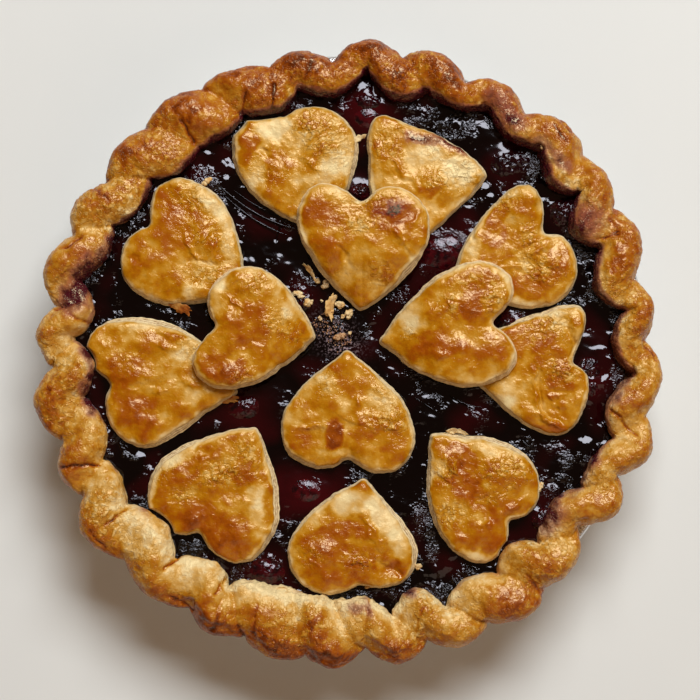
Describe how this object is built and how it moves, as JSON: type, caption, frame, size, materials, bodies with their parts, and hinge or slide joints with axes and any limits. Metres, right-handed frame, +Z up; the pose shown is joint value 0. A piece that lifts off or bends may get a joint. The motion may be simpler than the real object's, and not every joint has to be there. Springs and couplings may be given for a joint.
{
  "type": "cherry pie",
  "caption": "Baked cherry pie in its foil tin, with a crimped crust edge and heart-shaped pastry pieces lying on the open dark filling.",
  "frame": {"origin": "on the surface the tin stands on, under the middle of the pie", "axes": "+Z up, +Y towards the far side of the pie as it is pictured from its near side, +X to the right"},
  "size_m": [0.2513, 0.2525, 0.0491],
  "materials": {
    "foil": "thin pressed foil with a rolled and crimped rim",
    "crust": null,
    "filling": null,
    "hearts": null
  },
  "bodies": {
    "root": {"foil_tin": "foil", "crust": "crust", "filling": "filling", "far_heart_left": "hearts", "far_heart_right": "hearts", "far_heart_over": "hearts", "left_heart_far": "hearts", "left_heart_near": "hearts", "left_heart_over": "hearts", "right_heart_far": "hearts", "right_heart_near": "hearts", "right_heart_over": "hearts", "near_heart_inner": "hearts", "near_heart_left": "hearts", "near_heart_middle": "hearts", "near_heart_right": "hearts"}
  },
  "joints": []
}
